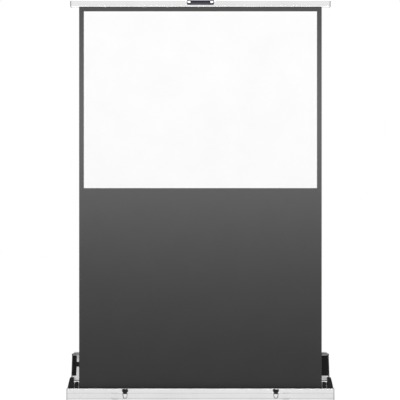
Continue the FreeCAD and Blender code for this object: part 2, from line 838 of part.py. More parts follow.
def make_elbow(side, x, z, upper_y, lower_y):
    """A pin fixed in the lower link, with a friction washer between the two links."""
    back = lower_y + s.arm_thickness + s.seat_gap
    front = upper_y - s.glide_gap
    shank = rod("Elbow_shank", "y", (x, z), (front, back + s.arm_ring_height), s.arm_pin_radius)
    head = rod("Elbow_head", "y", (x, z), (front - s.arm_pin_head_height, front), s.arm_pin_head_radius)
    ring = rod("Elbow_ring", "y", (x, z), (back, back + s.arm_ring_height), s.arm_pin_head_radius)
    keep(fuse(f"Elbow_pin_{side}", shank, head, ring), f"{side}_elbow_pin")
    washer_ys = (upper_y + s.arm_thickness + s.glide_gap, lower_y)
    disc = rod("Elbow_disc", "y", (x, z), washer_ys, s.friction_washer_radius)
    bore = rod("Elbow_disc_bore", "y", (x, z), (upper_y, lower_y + s.arm_thickness), s.arm_pin_radius + s.seat_gap)
    keep(cut(f"Elbow_washer_{side}", disc, bore), f"{side}_elbow_washer")


def make_arms():
    layers = {"left": (left_lower_y, left_upper_y), "right": (right_lower_y, right_upper_y)}
    for side, sign in sides:
        lower_y, upper_y = layers[side]
        base_x = sign * arm_pivot_x
        elbow_x = base_x - sign * elbow_reach
        elbow_z = s.arm_pivot_z + elbow_rise
        leans_right = sign < 0
        make_link(f"{side}_lower_arm", base_x, lower_y, s.arm_pivot_z, leans_right)
        make_link(f"{side}_upper_arm", elbow_x, upper_y, elbow_z, not leans_right)
        make_elbow(side, elbow_x, elbow_z, upper_y, lower_y)


def make_arm_bases():
    brackets = []
    pins = []
    for (side, sign), layer in zip(sides, (left_lower_y, right_lower_y)):
        x = sign * arm_pivot_x
        half = s.base_bracket_width / 2
        back = layer - s.glide_gap
        front = back - s.base_bracket_wall
        plate = box("Base_plate", (x - half, x + half), (front, back), (case_floor, s.arm_pivot_z))
        crown = rod("Base_crown", "y", (x, s.arm_pivot_z), (front, back), half)
        sole = box("Base_sole", (x - half, x + half), (front - s.base_bracket_foot, front),
                   (case_floor, case_floor + s.base_bracket_foot_height))
        bore = rod("Base_bore", "y", (x, s.arm_pivot_z), (front - s.overrun, back + s.overrun),
                   s.arm_pin_radius + s.seat_gap)
        brackets.append(cut(f"Base_bracket_{side}", fuse("Base_solid", plate, crown, sole), bore))
        spot = (x, s.arm_pivot_z)
        ring_y = layer + s.arm_thickness + s.glide_gap
        shank = rod("Base_shank", "y", spot, (front, ring_y), s.arm_pin_radius)
        head = rod("Base_head", "y", spot, (front - s.arm_pin_head_height, front), s.arm_pin_head_radius)
        ring = rod("Base_ring", "y", spot, (ring_y, ring_y + s.arm_ring_height), s.arm_pin_head_radius)
        pins.append(fuse(f"Base_pin_{side}", shank, head, ring))
    keep(group("Arm_base_brackets", brackets), "arm_base_brackets")
    keep(group("Arm_base_pins", pins), "arm_base_pins")


bar_front = s.bar_back_y - s.bar_depth
bar_top = bar_bottom + s.bar_height
bar_end = case_end - s.bar_setback


def make_top_bar():
    groove_z = bar_top - s.bar_groove_drop
    shoulder = bar_bottom + s.bar_slot_depth
    pocket_top = shoulder + s.batten_pocket
    neck = s.bar_slot_width / 2
    half_pocket = s.batten_pocket / 2
    outline = [
        (bar_front, bar_bottom),
        (bar_front, groove_z - s.bar_groove_width / 2),
        (bar_front + s.bar_groove_depth, groove_z),
        (bar_front, groove_z + s.bar_groove_width / 2),
        (bar_front, bar_top),
        (s.bar_back_y, bar_top),
        (s.bar_back_y, bar_bottom),
        (slot_y + neck, bar_bottom),
        (slot_y + neck, shoulder),
        (slot_y + half_pocket, shoulder),
        (slot_y + half_pocket, pocket_top),
        (slot_y - half_pocket, pocket_top),
        (slot_y - half_pocket, shoulder),
        (slot_y - neck, shoulder),
        (slot_y - neck, bar_bottom),
    ]
    inner_ys = (bar_front + s.bar_groove_depth + s.bar_wall, s.bar_back_y - s.bar_wall)
    chamber = rectangle(inner_ys, (pocket_top + s.bar_wall, bar_top - s.bar_wall))
    bar = Body("Top_bar")
    bar.pad("YZ", (-bar_end, bar_end), outline, chamber)
    bar.fillet(s.bar_round, along("x", (bar_front, bar_top), (s.bar_back_y, bar_top)))
    bar.fillet(s.bar_wall / 2, along("x", (bar_front, bar_bottom), (s.bar_back_y, bar_bottom)))
    keep(bar.body, "top_bar_profile")

    half = fabric_end - s.batten_setback
    keep(rod("Batten", "x", (slot_y, batten_z), (-half, half), s.batten_radius), "fabric_batten")

    face = [(bar_front, bar_bottom), (s.bar_back_y, bar_bottom), (s.bar_back_y, bar_top), (bar_front, bar_top)]
    for side, sign in sides:
        cap = Body(f"Bar_cap_{side}")
        cap_end = bar_end + s.bar_cap_thickness
        cap.pad("YZ", mirrored(sign, bar_end, cap_end), face)
        cap.fillet(s.bar_round, along("x", (bar_front, bar_top), (s.bar_back_y, bar_top)))
        cap.fillet(s.bar_cap_edge, on_level("x", sign * cap_end))
        keep(cap.body, f"top_bar_end_cap_{side}")


def make_top_brackets():
    brackets = []
    pins = []
    screws = []
    for (side, sign), layer in zip(sides, (left_upper_y, right_upper_y)):
        x = sign * arm_pivot_x
        half = s.top_bracket_width / 2
        xs = (x - half, x + half)
        back = layer - s.glide_gap
        front = back - s.top_bracket_wall
        web_bottom = bar_top - s.top_bracket_web
        ear = rod("Top_ear", "y", (x, top_pivot_z), (front, back), half)
        plate = box("Top_plate", xs, (front, back), (top_pivot_z, bar_top))
        pieces = [ear, plate]
        if front.value > s.bar_back_y.value:
            pieces.append(box("Top_web", xs, (s.bar_back_y, front), (web_bottom, bar_top)))
        bore = rod("Top_bore", "y", (x, top_pivot_z), (front - s.overrun, back + s.overrun),
                   s.arm_pin_radius + s.seat_gap)
        brackets.append(cut(f"Top_bracket_{side}", fuse("Top_solid", *pieces), bore))
        spot = (x, top_pivot_z)
        ring_y = layer + s.arm_thickness + s.glide_gap
        shank = rod("Top_shank", "y", spot, (front, ring_y), s.arm_pin_radius)
        ring = rod("Top_ring", "y", spot, (ring_y, ring_y + s.arm_ring_height), s.arm_pin_head_radius)
        pins.append(fuse(f"Top_pin_{side}", shank, ring))
        for shift in (-1, 1):
            spot = (x + shift * s.bracket_screw_x, bar_top - s.bracket_screw_drop)
            screws.append(rod("Bracket_screw", "y", spot, (back, back + s.bracket_screw_head_height),
                              s.bracket_screw_head))
    keep(group("Top_brackets", brackets), "top_brackets")
    keep(group("Top_pivot_pins", pins), "top_pivot_pins")
    keep(group("Top_bracket_screws", screws), "top_bracket_screws")


handle_top = bar_top + s.handle_rise
handle_bottom = handle_top - s.handle_height
handle_back = bar_front - s.handle_gap
handle_front = handle_back - s.handle_thickness
handle_end = s.handle_length / 2
handle_axis = ((handle_front + handle_back) / 2, handle_top - s.handle_axis_drop)


def oval(name, centre_x, centre_z, length, height, ys):
    """A bar of oval section along Y."""
    straight = (length - height) / 2
    middle = box(f"{name}_middle", (centre_x - straight, centre_x + straight), ys,
                 (centre_z - height / 2, centre_z + height / 2))
    ends = [rod(f"{name}_end", "y", (centre_x + way * straight, centre_z), ys, height / 2) for way in (-1, 1)]
    return fuse(name, middle, *ends)


def make_handle():
    window_z = handle_top - s.handle_window_drop
    body = Body("Handle_grip_body")
    body.pad("XZ", (handle_front, handle_back),
             rectangle((-handle_end, handle_end), (handle_bottom, handle_top)))
    body.fillet(s.handle_corner, along("y"))
    body.fillet(s.handle_round, on_level("y", handle_front))
    body.fillet(s.handle_round, on_level("y", handle_back))
    for _, sign in sides:
        depth = mirrored(sign, handle_end - s.handle_pin_grip - s.glide_gap, handle_end + s.overrun)
        body.pocket("YZ", depth, Circle(handle_axis, s.handle_pin_radius + s.pin_gap))

    beyond = (handle_front - s.overrun, handle_back + s.overrun)
    through = (handle_front, handle_back)
    windows = []
    eyelets = []
    mounts = []
    for side, sign in sides:
        x = sign * s.handle_window_x
        windows.append(oval("Window", x, window_z, s.handle_window_length, s.handle_window_height, beyond))
        trim = 2 * s.seat_gap
        ring = oval("Eyelet_outside", x, window_z, s.handle_window_length - trim,
                    s.handle_window_height - trim, through)
        trim = trim + 2 * s.eyelet_wall
        hole = oval("Eyelet_inside", x, window_z, s.handle_window_length - trim,
                    s.handle_window_height - trim, beyond)
        eyelets.append(cut(f"Eyelet_{side}", ring, hole))

        axis_y, axis_z = handle_axis
        mount_start = handle_end + s.glide_gap
        mount_xs = mirrored(sign, mount_start, mount_start + s.handle_mount_width)
        post_zs = (axis_z - s.handle_mount_height, axis_z + s.handle_mount_nose)
        post = box("Handle_post", mount_xs, (axis_y, bar_front), post_zs)
        nose = rod("Handle_nose", "x", handle_axis, mount_xs, s.handle_mount_nose)
        pin_xs = mirrored(sign, handle_end - s.handle_pin_grip, mount_start)
        pin = rod("Handle_pin", "x", handle_axis, pin_xs, s.handle_pin_radius)
        mounts.append(fuse(f"Handle_mount_{side}", post, nose, pin))
    keep(cut("Handle_grip", body.body, *windows), "handle_grip")
    keep(group("Handle_eyelets", eyelets), "handle_eyelets")
    keep(group("Handle_mounts", mounts), "handle_mounts")


# The lid is drawn along its panel and inwards from it, about its rear corner, then leant back on its pins.
# The share is how much of the panel's length is rise.
lid_rise_share = 0.927
panel_angle = angle_with_sine(as_size(lid_rise_share))
lid_corner_y = s.hinge_pin_y - s.lid_pin_along * cosine(panel_angle) + s.lid_pin_in * sine(panel_angle)
lid_corner_z = s.hinge_pin_z - s.lid_pin_along * sine(panel_angle) - s.lid_pin_in * cosine(panel_angle)
lining_in = s.lid_wall + s.lining_thickness
lining_top = s.lid_panel - s.lid_wall - s.lining_inset


def keep_on_lid(body, label):
    put_turned(body.body, (0, lid_corner_y, lid_corner_z), (1, 0, 0), panel_angle)
    keep(body.body, label)


def make_lid():
    panel = s.lid_panel
    outline = [
        (0, 0),
        (panel, 0),
        (panel, s.lid_front_lip),
        (panel - s.lid_bead, s.lid_front_lip),
        (panel - s.lid_bead, s.lid_front_lip - s.lid_bead),
        (panel - s.lid_wall, s.lid_front_lip - s.lid_bead),
        (panel - s.lid_wall, s.lid_wall),
        (s.lid_wall, s.lid_wall),
        (s.lid_wall, s.lid_rear_lip - s.lid_bead),
        (s.lid_bead, s.lid_rear_lip - s.lid_bead),
        (s.lid_bead, s.lid_rear_lip),
        (0, s.lid_rear_lip),
    ]
    lid = Body("Lid")
    lid.pad("YZ", (-lid_end, lid_end), outline)
    lid.fillet(s.lid_corner, along("x", (0, 0), (panel, 0)))
    lid.fillet(s.lid_corner - s.lid_wall, along("x", (s.lid_wall, s.lid_wall), (panel - s.lid_wall, s.lid_wall)))
    for side, sign in sides:
        taper = [
            (sign * lid_end, s.lid_cap_leg),
            (sign * (lid_end - s.lid_lip_taper), s.lid_front_lip),
            (sign * (lid_end - s.lid_lip_taper), s.lid_front_lip + s.overrun),
            (sign * (lid_end + s.overrun), s.lid_front_lip + s.overrun),
            (sign * (lid_end + s.overrun), s.lid_cap_leg),
        ]
        lid.pocket("XZ", (panel - s.lid_bead - s.overrun, panel + s.overrun), taper)
    keep_on_lid(lid, "lid_profile")

    cap_outline = [
        (0, 0),
        (panel, 0),
        (panel, s.lid_cap_leg),
        (panel - s.lid_cap_width, s.lid_cap_leg),
        (panel - s.lid_cap_width, s.lid_cap_width),
        (s.lid_cap_width, s.lid_cap_width),
        (s.lid_cap_width, s.lid_rear_lip),
        (0, s.lid_rear_lip),
    ]
    pin_spot = (s.lid_pin_along, s.lid_pin_in)
    for side, sign in sides:
        xs = mirrored(sign, lid_end, lid_end + s.lid_cap_thickness)
        cap = Body(f"Lid_cap_{side}")
        cap.pad("YZ", xs, cap_outline)
        cap.fillet(s.lid_corner, along("x", (0, 0), (panel, 0)))
        cap.pad("YZ", xs, Circle(pin_spot, s.lid_lug_radius))
        beyond = mirrored(sign, lid_end - s.overrun, lid_end + s.lid_cap_thickness + s.overrun)
        cap.pocket("YZ", beyond, Circle(pin_spot, s.hinge_pin_radius + s.pin_gap))
        keep_on_lid(cap, f"lid_end_cap_{side}")

    lining = Body("Lining")
    lining.pad("YZ", (s.lining_end_gap - lid_end, lid_end - s.lining_end_gap),
               rectangle((s.lining_start, lining_top), (s.lid_wall, lining_in)))
    keep_on_lid(lining, "lid_lining")


def make_lid_strap():
    strap_in = lining_in + s.strap_thickness
    foot_end = s.lining_start - s.seat_gap
    side_view = [
        (s.strap_start, s.lid_wall),
        (foot_end, s.lid_wall),
        (foot_end, lining_in),
        (lining_top, lining_in),
        (lining_top, strap_in),
        (s.strap_start, strap_in),
    ]
    strap_x = s.strap_setback - lid_end
    strap = Body("Strap")
    strap.pad("YZ", (strap_x - s.strap_width / 2, strap_x + s.strap_width / 2), side_view)
    keep_on_lid(strap, "lid_strap")

    bumper_end = s.bumper_start + s.bumper_length
    bumper_top = strap_in + s.bumper_height
    bumper = Body("Bumper")
    bumper.pad("YZ", (strap_x - s.bumper_width / 2, strap_x + s.bumper_width / 2),
               rectangle((s.bumper_start, bumper_end), (strap_in, bumper_top)))
    bumper.fillet(s.bumper_height / 3, on_level("z", bumper_top))
    keep_on_lid(bumper, "lid_bumper")


def make_keepers():
    """Two hooks on the outer face of the lid's front lip, which the latch loops pull down."""
    low = s.lid_front_lip - s.keeper_height
    hook = s.lid_panel + s.keeper_depth
    side_view = [
        (s.lid_panel, s.lid_front_lip - s.lid_bead),
        (s.lid_panel, s.lid_front_lip - s.lid_bead - s.keeper_wall),
        (hook - s.keeper_wall, s.lid_front_lip - s.lid_bead - s.keeper_wall),
        (hook - s.keeper_wall, low - s.lid_bead),
        (hook, low - s.lid_bead),
        (hook, s.lid_front_lip - s.lid_bead),
    ]
    keepers = []
    for side, sign in sides:
        x = sign * s.latch_x
        keeper = Body(f"Keeper_{side}")
        keeper.pad("YZ", (x - s.keeper_width / 2, x + s.keeper_width / 2), side_view)
        keepers.append(keeper.body)
    both = group("Keepers", keepers)
    put_turned(both, (0, lid_corner_y, lid_corner_z), (1, 0, 0), panel_angle)
    keep(both, "latch_keepers")


latch_face = case_front - s.latch_plate_thickness
latch_axis = (case_front - s.latch_axis_out, case_bottom + s.latch_axis_height)
loop_axis = (latch_axis[0] - s.loop_axis_out, latch_axis[1] - s.loop_axis_drop)


def make_latch_plates():
    axis_y, axis_z = latch_axis
    plates = []
    pins = []
    for side, sign in sides:
        x = sign * s.latch_x
        half = s.latch_plate_width / 2
        sheet_piece = Body(f"Latch_sheet_{side}")
        heights = (case_bottom + s.latch_plate_low, case_bottom + s.latch_plate_high)
        sheet_piece.pad("XZ", (latch_face, case_front), rectangle((x - half, x + half), heights))
        sheet_piece.fillet(s.latch_plate_corner, along("y"))
        pieces = [sheet_piece.body]
        for low in (x - half, x + half - s.latch_ear_width):
            xs = (low, low + s.latch_ear_width)
            web = box("Latch_web", xs, (axis_y, latch_face),
                      (axis_z - s.latch_ear_radius, axis_z + s.latch_ear_radius))
            pieces += [web, rod("Latch_ear", "x", latch_axis, xs, s.latch_ear_radius)]
        bore = rod("Latch_bore", "x", latch_axis, (x - half - s.overrun, x + half + s.overrun),
                   s.latch_pin_radius + s.seat_gap)
        plates.append(cut(f"Latch_plate_{side}", fuse("Latch_solid", *pieces), bore))
        pins.append(rod(f"Latch_pin_{side}", "x", latch_axis, (x - half, x + half), s.latch_pin_radius))
    keep(group("Latch_plates", plates), "latch_plates")
    keep(group("Latch_pins", pins), "latch_pins")


def make_latch_levers():
    axis_y, axis_z = latch_axis
    front = axis_y - s.lever_front
    ys = (front, front + s.lever_thickness)
    for side, sign in sides:
        x = sign * s.latch_x
        half = s.lever_width / 2
        zs = (axis_z + s.lever_shoulder, axis_z + s.lever_reach)
        blade = Body(f"Lever_blade_{side}")
        blade.pad("XZ", ys, rectangle((x - half, x + half), zs))
        blade.fillet(s.lever_corner, along("y", (x - half, zs[1]), (x + half, zs[1])))
        blade.fillet(s.lever_round, on_level("y", front))
        hub_xs = (x - s.lever_hub_width / 2, x + s.lever_hub_width / 2)
        neck = box("Lever_neck", hub_xs, ys, (axis_z, axis_z + s.lever_shoulder + s.lever_round))
        hub = rod("Lever_hub", "x", latch_axis, hub_xs, s.lever_hub_radius)
        beyond = (x - half - s.overrun, x + half + s.overrun)
        pin_bore = rod("Lever_bore", "x", latch_axis, beyond, s.latch_pin_radius + s.pin_gap)
        loop_bore = rod("Lever_loop_bore", "x", loop_axis, beyond, s.loop_wire / 2 + s.loop_hole_gap)
        keep(cut(f"Latch_lever_{side}", fuse("Lever_solid", blade.body, neck, hub), pin_bore, loop_bore),
             f"latch_lever_{side}")


def make_latch_loops():
    axis_y, axis_z = loop_axis
    ys = (axis_y - s.loop_wire / 2, axis_y + s.loop_wire / 2)
    top = axis_z + s.loop_wire / 2
    bottom = axis_z - s.loop_length
    inner_top = s.lever_hub_width / 2 + s.loop_gap
    outer_top = inner_top + s.loop_wire
    outer_foot = s.loop_foot_width / 2
    inner_foot = outer_foot - s.loop_wire
    for side, sign in sides:
        x = sign * s.latch_x
        outer = [(x - outer_top, top), (x + outer_top, top), (x + outer_foot, bottom), (x - outer_foot, bottom)]
        inner = [(x - inner_top, top - s.loop_wire), (x + inner_top, top - s.loop_wire),
                 (x + inner_foot, bottom + s.loop_wire), (x - inner_foot, bottom + s.loop_wire)]
        loop = Body(f"Loop_{side}")
        loop.pad("XZ", ys, outer, inner)
        loop.fillet(s.loop_corner, along("y", *outer))
        loop.fillet(s.loop_corner / 2, along("y", *inner))
        loop.fillet(s.loop_wire_round, on_level("y", ys[0]))
        loop.fillet(s.loop_wire_round, on_level("y", ys[1]))
        keep(loop.body, f"latch_loop_{side}")


def check_all():
    document.recompute()
    failed = [thing for thing in document.Objects if {"Invalid", "Error"} & set(thing.State)]
    failed += [piece for piece in sub_parts if piece.Shape.isNull() or not piece.Shape.isValid()]
    faults = []
    for thing in failed:
        owner = thing.getParentGeoFeatureGroup()
        faults.append(f"{thing.Label} of {owner.Label}" if owner else thing.Label)
    if faults:
        raise RuntimeError("these pieces did not come out right: " + ", ".join(faults))


make_feet()
make_foot_bolts()
make_case_trough()
make_end_plates()
make_hinge_blocks()
make_roller()
make_roller_spring()
make_roller_carriers()
make_fabric()
make_arms()
make_arm_bases()
make_top_bar()
make_top_brackets()
make_handle()
make_lid()
make_lid_strap()
make_keepers()
make_latch_plates()
make_latch_levers()
make_latch_loops()
check_all()

os.makedirs("parts", exist_ok=True)
for piece in sub_parts:
    piece.Shape.exportStep(os.path.join("parts", f"{piece.Label}.step"))
print(f"{len(sub_parts)} sub-parts, arms at {arm_angle.value:.4f} degrees, top pivots at {top_pivot_z.value:.3f}")
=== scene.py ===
import bpy
import bmesh
import json
import math
from mathutils import Matrix, Vector


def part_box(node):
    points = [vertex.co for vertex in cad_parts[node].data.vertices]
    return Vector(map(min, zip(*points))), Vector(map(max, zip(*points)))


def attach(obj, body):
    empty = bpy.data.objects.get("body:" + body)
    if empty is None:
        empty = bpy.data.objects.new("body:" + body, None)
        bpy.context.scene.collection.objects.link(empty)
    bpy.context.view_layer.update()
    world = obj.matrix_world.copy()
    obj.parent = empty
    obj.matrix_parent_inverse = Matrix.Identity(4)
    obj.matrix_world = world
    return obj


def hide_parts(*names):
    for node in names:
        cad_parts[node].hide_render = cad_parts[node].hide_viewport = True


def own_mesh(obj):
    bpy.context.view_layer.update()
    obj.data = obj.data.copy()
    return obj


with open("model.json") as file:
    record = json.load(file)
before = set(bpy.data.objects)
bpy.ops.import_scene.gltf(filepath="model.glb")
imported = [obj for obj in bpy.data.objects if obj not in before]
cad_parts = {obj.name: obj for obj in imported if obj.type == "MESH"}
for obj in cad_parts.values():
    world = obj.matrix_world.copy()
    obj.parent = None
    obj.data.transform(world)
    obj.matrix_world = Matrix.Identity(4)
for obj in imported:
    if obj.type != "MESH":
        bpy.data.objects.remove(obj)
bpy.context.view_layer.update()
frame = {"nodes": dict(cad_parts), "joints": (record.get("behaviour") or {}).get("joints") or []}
nodes = frame["nodes"]
print("frame loaded:", len(nodes), "nodes")


# node tree helpers
def addNode(tree, kind, **sockets):
    node = tree.nodes.new(kind)
    for name, value in sockets.items():
        node.inputs[name.replace("_", " ")].default_value = value
    return node


def startLook(name):
    look = bpy.data.materials.new(name)
    look.use_nodes = True
    tree = look.node_tree
    shader = tree.nodes["Principled BSDF"]
    coords = tree.nodes.new("ShaderNodeTexCoord")
    return look, tree, shader, coords.outputs["Object"]


def mapped(tree, place, scale, turn=0.0):
    mapping = tree.nodes.new("ShaderNodeMapping")
    mapping.inputs["Scale"].default_value = scale
    mapping.inputs["Rotation"].default_value = (0.0, turn, 0.0)
    tree.links.new(place, mapping.inputs["Vector"])
    return mapping.outputs["Vector"]


def noise(tree, place, scale, detail=3.0, roughness=0.5):
    node = addNode(tree, "ShaderNodeTexNoise", Scale=scale, Detail=detail, Roughness=roughness)
    tree.links.new(place, node.inputs["Vector"])
    return node.outputs["Fac"]


def ramp(tree, value, low, high, lowAt=0.3, highAt=0.7):
    node = tree.nodes.new("ShaderNodeMapRange")
    node.inputs["From Min"].default_value = lowAt
    node.inputs["From Max"].default_value = highAt
    node.inputs["To Min"].default_value = low
    node.inputs["To Max"].default_value = high
    tree.links.new(value, node.inputs["Value"])
    return node.outputs["Result"]


def mixTones(tree, value, dark, light):
    node = tree.nodes.new("ShaderNodeMix")
    node.data_type = "RGBA"
    node.inputs["A"].default_value = (*dark, 1.0)
    node.inputs["B"].default_value = (*light, 1.0)
    tree.links.new(value, node.inputs["Factor"])
    return node.outputs["Result"]


def bump(tree, shader, height, strength, distance):
    node = addNode(tree, "ShaderNodeBump", Strength=strength, Distance=distance)
    tree.links.new(height, node.inputs["Height"])
    tree.links.new(node.outputs["Normal"], shader.inputs["Normal"])


# finishes
metalUser = dict(cloudScale=7.0, cloudDetail=4.0, lift=0.06, depth=0.0002)
metalFinishes = {
    "anodisedCase": dict(dark=(0.62, 0.62, 0.62), light=(0.66, 0.66, 0.66), rough=(0.14, 0.20),
                         grain=(3, 900, 900), satin=0.24),
    "anodisedBar": dict(dark=(0.77, 0.77, 0.77), light=(0.81, 0.81, 0.81), rough=(0.040, 0.055),
                        grain=(0.5, 180, 180), lift=0.01),
    # lighter base than the case's aluminium: painted light, brightening the lid's lip where it sits in shade
    "anodisedLid": dict(dark=(0.72, 0.72, 0.72), light=(0.78, 0.78, 0.78), rough=(0.50, 0.60),
                        grain=(3, 900, 900), metal=0.15),
    "latchSteel": dict(dark=(0.58, 0.58, 0.58), light=(0.66, 0.66, 0.66), rough=(0.16, 0.24),
                       grain=(500, 40, 500)),
    "castEnd": dict(dark=(0.20, 0.20, 0.21), light=(0.28, 0.28, 0.29), rough=(0.40, 0.55),
                    grain=(260, 260, 260)),
    "armLeftLean": dict(dark=(0.60, 0.61, 0.62), light=(0.72, 0.72, 0.73), rough=(0.30, 0.45),
                        grain=(4, 700, 700), turn=62.7),
    "armRightLean": dict(dark=(0.60, 0.61, 0.62), light=(0.72, 0.72, 0.73), rough=(0.30, 0.45),
                         grain=(4, 700, 700), turn=-62.7),
    "zincSteel": dict(dark=(0.48, 0.48, 0.49), light=(0.66, 0.66, 0.66), rough=(0.28, 0.48),
                      grain=(420, 420, 420)),
    "brightNickel": dict(dark=(0.74, 0.73, 0.72), light=(0.86, 0.85, 0.84), rough=(0.12, 0.24),
                         grain=(300, 300, 300)),
    # near-black steel: painted shade, the latch loops darkened to stand in for their shaded outlines
    "loopWire": dict(dark=(0.13, 0.13, 0.13), light=(0.20, 0.20, 0.20), rough=(0.22, 0.34),
                     grain=(300, 300, 300)),
    "stripSteel": dict(dark=(0.48, 0.48, 0.49), light=(0.58, 0.58, 0.59), rough=(0.30, 0.44),
                       grain=(700, 60, 60)),
}


satinUser = dict(start=0.001, full=0.002)  # behind the case's front face


def satinInside(tree, place, rough, more):  # the drawn outer face is smoother than the inside
    split = tree.nodes.new("ShaderNodeSeparateXYZ")
    tree.links.new(place, split.inputs["Vector"])
    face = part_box("case_trough")[0].y
    inside = ramp(tree, split.outputs["Y"], 0.0, more, face + satinUser["start"], face + satinUser["full"])
    total = tree.nodes.new("ShaderNodeMath")
    tree.links.new(rough, total.inputs[0])
    tree.links.new(inside, total.inputs[1])
    return total.outputs["Value"]


def metalLook(name):
    finish = metalFinishes[name]
    look, tree, shader, place = startLook(name)
    streaks = noise(tree, mapped(tree, place, finish["grain"], math.radians(finish.get("turn", 0.0))), 1.0)
    clouds = noise(tree, place, metalUser["cloudScale"], metalUser["cloudDetail"])
    tree.links.new(mixTones(tree, ramp(tree, clouds, 0.0, 1.0), finish["dark"], finish["light"]),
                   shader.inputs["Base Color"])
    rough = ramp(tree, streaks, *finish["rough"])
    if "satin" in finish:
        rough = satinInside(tree, place, rough, finish["satin"])
    tree.links.new(rough, shader.inputs["Roughness"])
    bump(tree, shader, streaks, finish.get("lift", metalUser["lift"]), metalUser["depth"])
    shader.inputs["Metallic"].default_value = finish.get("metal", 1.0)
    return look


mouldedUser = dict(grainDetail=2.0, cloudScale=18.0, cloudDetail=5.0, cloudRough=0.6, lift=0.25, depth=0.0002)
mouldedFinishes = {
    "blackMoulding": dict(dark=(0.009, 0.009, 0.010), light=(0.016, 0.016, 0.018), rough=(0.50, 0.65),
                          grain=1500.0, gloss=0.12),
    "darkTrim": dict(dark=(0.020, 0.020, 0.022), light=(0.034, 0.034, 0.036), rough=(0.55, 0.70),
                     grain=1200.0, gloss=0.1),
    "greyCap": dict(dark=(0.13, 0.13, 0.14), light=(0.18, 0.18, 0.19), rough=(0.45, 0.60),
                    grain=1200.0, gloss=0.25),
    "footPaint": dict(dark=(0.022, 0.022, 0.024), light=(0.036, 0.036, 0.038), rough=(0.36, 0.50),
                      grain=650.0, gloss=0.35),
    "padRubber": dict(dark=(0.014, 0.014, 0.014), light=(0.026, 0.026, 0.026), rough=(0.70, 0.85),
                      grain=900.0, gloss=0.2),
}


def mouldedLook(name):
    finish = mouldedFinishes[name]
    look, tree, shader, place = startLook(name)
    grain = noise(tree, place, finish["grain"], mouldedUser["grainDetail"])
    clouds = noise(tree, place, mouldedUser["cloudScale"], mouldedUser["cloudDetail"],
                   mouldedUser["cloudRough"])
    tree.links.new(mixTones(tree, ramp(tree, clouds, 0.0, 1.0), finish["dark"], finish["light"]),
                   shader.inputs["Base Color"])
    tree.links.new(ramp(tree, clouds, *finish["rough"]), shader.inputs["Roughness"])
    bump(tree, shader, grain, mouldedUser["lift"], mouldedUser["depth"])
    shader.inputs["Specular IOR Level"].default_value = finish["gloss"]
    return look


# the grip's colour steps with height: a grey lower face, a painted shade band, then a painted highlight on
# the top face
handleUser = dict(rough=(0.70, 0.85), grain=1500.0, gloss=0.1, wear=(0.82, 1.0), cloudScale=30.0,
                  bands=[(0.0, (0.085, 0.084, 0.098)), (0.36, (0.075, 0.074, 0.088)),  # grey face
                         (0.42, (0.004, 0.004, 0.008)), (0.65, (0.004, 0.004, 0.008)),  # painted shade, a dark band under the top face
                         (0.71, (0.36, 0.36, 0.42))])  # painted highlight on the lit top face


def handleLook():
    look, tree, shader, place = startLook("handleMoulding")
    low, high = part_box("handle_grip")
    split = tree.nodes.new("ShaderNodeSeparateXYZ")
    tree.links.new(place, split.inputs["Vector"])
    rise = ramp(tree, split.outputs["Z"], 0.0, 1.0, low.z, high.z)
    # tones by height: painted shade band and painted highlight on the grip's top face
    tones = tree.nodes.new("ShaderNodeValToRGB")
    stops = tones.color_ramp.elements
    while len(stops) < len(handleUser["bands"]):
        stops.new(0.5)  # its place is set below
    for stop, (height, tone) in zip(stops, handleUser["bands"]):
        stop.position = height
        stop.color = (*tone, 1.0)
    tree.links.new(rise, tones.inputs["Fac"])
    grain = noise(tree, place, handleUser["grain"], mouldedUser["grainDetail"])
    clouds = noise(tree, place, handleUser["cloudScale"], mouldedUser["cloudDetail"],
                   mouldedUser["cloudRough"])
    worn = tree.nodes.new("ShaderNodeVectorMath")
    worn.operation = "SCALE"
    tree.links.new(tones.outputs["Color"], worn.inputs["Vector"])
    tree.links.new(ramp(tree, clouds, *handleUser["wear"]), worn.inputs["Scale"])
    tree.links.new(worn.outputs["Vector"], shader.inputs["Base Color"])
    tree.links.new(ramp(tree, clouds, *handleUser["rough"]), shader.inputs["Roughness"])
    bump(tree, shader, grain, mouldedUser["lift"], mouldedUser["depth"])
    shader.inputs["Specular IOR Level"].default_value = handleUser["gloss"]
    return look


clothUser = dict(cloudScale=5.0, cloudDetail=6.0, cloudRough=0.6, depth=0.0001, wobble=0.4, wobbleScale=2.0,
                 waveRadians=20)  # the wave texture's own bands are 20 radians a unit
clothFinishes = {
    "blackBacking": dict(dark=(0.009, 0.009, 0.009), light=(0.012, 0.012, 0.012), rough=(0.28, 0.31),
                         thread=0.0009, lift=0.03, sheen=0.0, gloss=0.24),
    "whiteSurface": dict(dark=(0.875, 0.875, 0.875), light=(0.90, 0.90, 0.90), rough=(0.86, 0.92),
                         thread=0.0006, lift=0.05, sheen=0.0, gloss=0.2),
    "liningFelt": dict(dark=(0.008, 0.008, 0.008), light=(0.016, 0.016, 0.017), rough=(0.85, 0.95),
                       thread=0.0012, lift=0.30, sheen=0.1, gloss=0.1),
}


def waves(tree, place, direction, period):
    node = tree.nodes.new("ShaderNodeTexWave")
    node.wave_type = "BANDS"
    node.bands_direction = direction
    node.inputs["Scale"].default_value = 2 * math.pi / clothUser["waveRadians"] / period
    node.inputs["Distortion"].default_value = clothUser["wobble"]
    node.inputs["Detail Scale"].default_value = clothUser["wobbleScale"]
    tree.links.new(place, node.inputs["Vector"])
    return node.outputs["Fac"]


